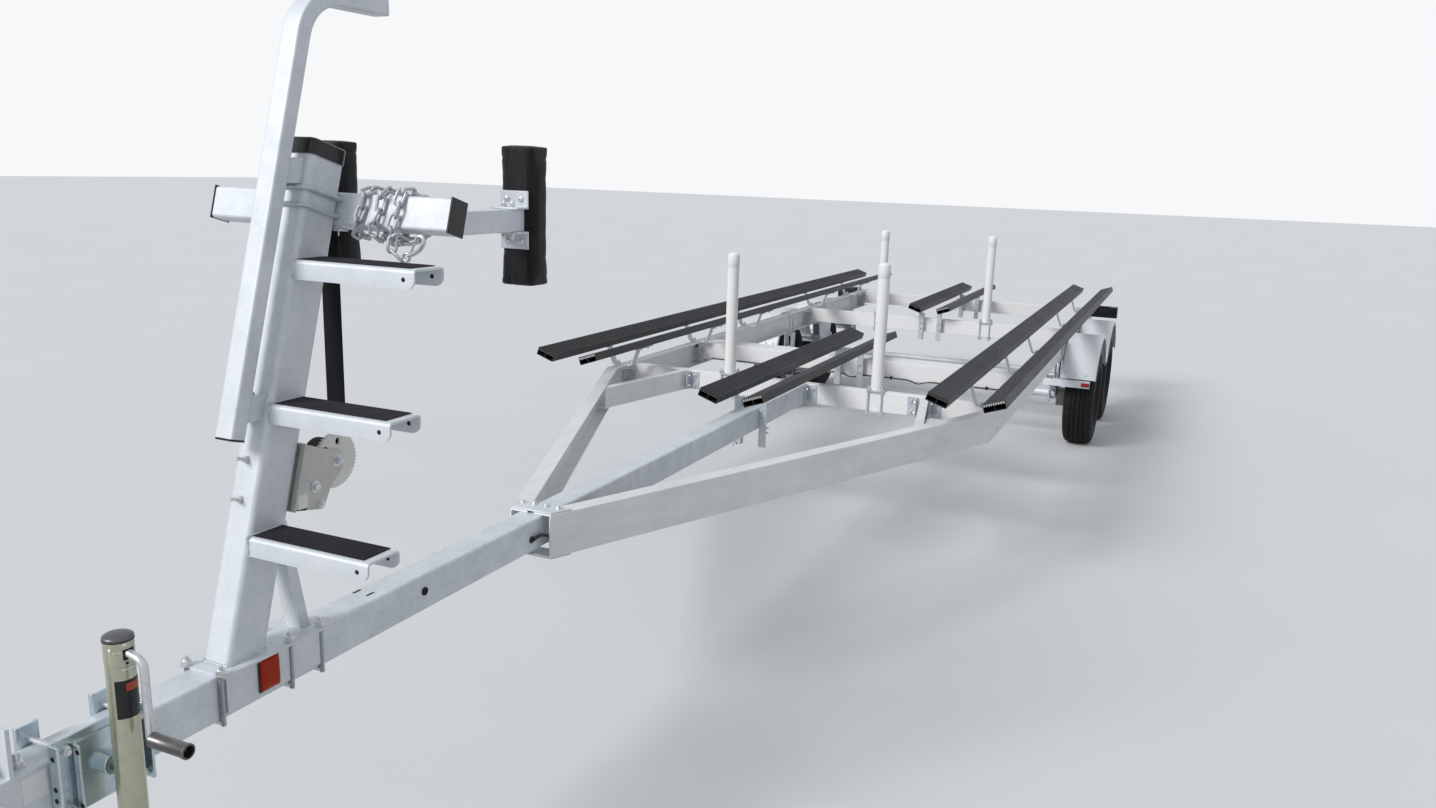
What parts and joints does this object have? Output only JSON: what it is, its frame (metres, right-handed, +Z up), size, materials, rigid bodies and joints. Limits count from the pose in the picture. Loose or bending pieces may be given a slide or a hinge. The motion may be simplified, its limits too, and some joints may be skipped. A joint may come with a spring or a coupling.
{
  "type": "boat trailer",
  "caption": "Boat trailer for a multi-tube pontoon boat: low channel frame with plastic bunks, guide posts, winch post with steps, padded bow stop and swivel jack.",
  "frame": {"origin": "on the ground under the middle of the trailer's length and width, parked level on its wheels and jack", "axes": "+X forward to the coupler, +Y to the port (left) side, +Z up"},
  "size_m": [9.192, 2.524, 2.2002],
  "materials": {
    "mill_aluminium": "mill finish, faint length-wise streaks",
    "galvanised_steel": "hot-dip galvanised, matt and faintly mottled",
    "zinc_plate": "zinc plated, satin",
    "bunk_plastic": "ribbed black plastic",
    "black_plastic": "moulded black plastic",
    "white_plastic": "white pipe plastic",
    "fender_metal": "light grey coat",
    "grip_tape": "coarse grip strip",
    "black_carpet": "short pile carpet",
    "black_webbing": "woven webbing",
    "chain_steel": "galvanised chain",
    "jack_cap": "moulded cap",
    "amber_lens": "amber lens",
    "tyre": "ribbed black rubber",
    "wheel_silver": "silver coat"
  },
  "bodies": {
    "trailer": {"apex_plates": "galvanised_steel", "axles": "galvanised_steel", "bow_chain": "chain_steel", "bow_crossbar": "galvanised_steel", "bow_pads": "black_carpet", "bow_ubolts": "zinc_plate", "brake_calipers": "zinc_plate", "bunk_cradles": "galvanised_steel", "bunk_legs": "galvanised_steel", "bunks_centre": "bunk_plastic", "bunks_port": "bunk_plastic", "bunks_starboard": "bunk_plastic", "coupler": "zinc_plate", "crossmembers": "mill_aluminium", "diagonal_braces": "mill_aluminium", "end_caps": "black_plastic", "fender_brackets": "galvanised_steel", "fenders": "fender_metal", "frame_cleats": "galvanised_steel", "guide_clamps": "galvanised_steel", "guide_posts": "white_plastic", "handrail": "galvanised_steel", "jack_bracket": "zinc_plate", "leaf_springs": "galvanised_steel", "marker_lamps": "amber_lens", "pad_arms": "galvanised_steel", "post_saddle": "galvanised_steel", "side_rail_port": "mill_aluminium", "side_rail_starboard": "mill_aluminium", "spring_hangers": "galvanised_steel", "step_treads": "grip_tape", "steps": "galvanised_steel", "tail_lamps": "black_plastic", "tongue": "galvanised_steel", "winch_crank": "zinc_plate", "winch_drum": "zinc_plate", "winch_frame": "zinc_plate", "winch_post": "galvanised_steel", "winch_strap": "black_webbing"},
    "jack_outer": {"jack_cap": "jack_cap", "jack_crank": "zinc_plate", "jack_tube": "zinc_plate"},
    "jack_inner": {"jack_leg": "zinc_plate"},
    "wheel_front_port": {"rim_front_port": "wheel_silver", "tyre_front_port": "tyre"},
    "wheel_front_starboard": {"rim_front_starboard": "wheel_silver", "tyre_front_starboard": "tyre"},
    "wheel_rear_port": {"rim_rear_port": "wheel_silver", "tyre_rear_port": "tyre"},
    "wheel_rear_starboard": {"rim_rear_starboard": "wheel_silver", "tyre_rear_starboard": "tyre"}
  },
  "joints": [
    {"name": "wheel_front_port_spin", "type": "hinge", "parent": "trailer", "child": "wheel_front_port", "pos_m": [-2.641, 1.1565, 0.332], "axis": [0, 1, 0], "continuous": true},
    {"name": "wheel_front_starboard_spin", "type": "hinge", "parent": "trailer", "child": "wheel_front_starboard", "pos_m": [-2.641, -1.1565, 0.332], "axis": [0, 1, 0], "continuous": true},
    {"name": "wheel_rear_port_spin", "type": "hinge", "parent": "trailer", "child": "wheel_rear_port", "pos_m": [-3.52, 1.1565, 0.332], "axis": [0, 1, 0], "continuous": true},
    {"name": "wheel_rear_starboard_spin", "type": "hinge", "parent": "trailer", "child": "wheel_rear_starboard", "pos_m": [-3.52, -1.1565, 0.332], "axis": [0, 1, 0], "continuous": true},
    {"name": "jack_swivel", "type": "hinge", "parent": "trailer", "child": "jack_outer", "pos_m": [4.084, 0.116, 0.722], "axis": [0, 1, 0], "range_deg": [0, 90]},
    {"name": "jack_leg_slide", "type": "slide", "parent": "jack_outer", "child": "jack_inner", "axis": [0, 0, 1], "range_m": [-0.12, 0.1]}
  ]
}
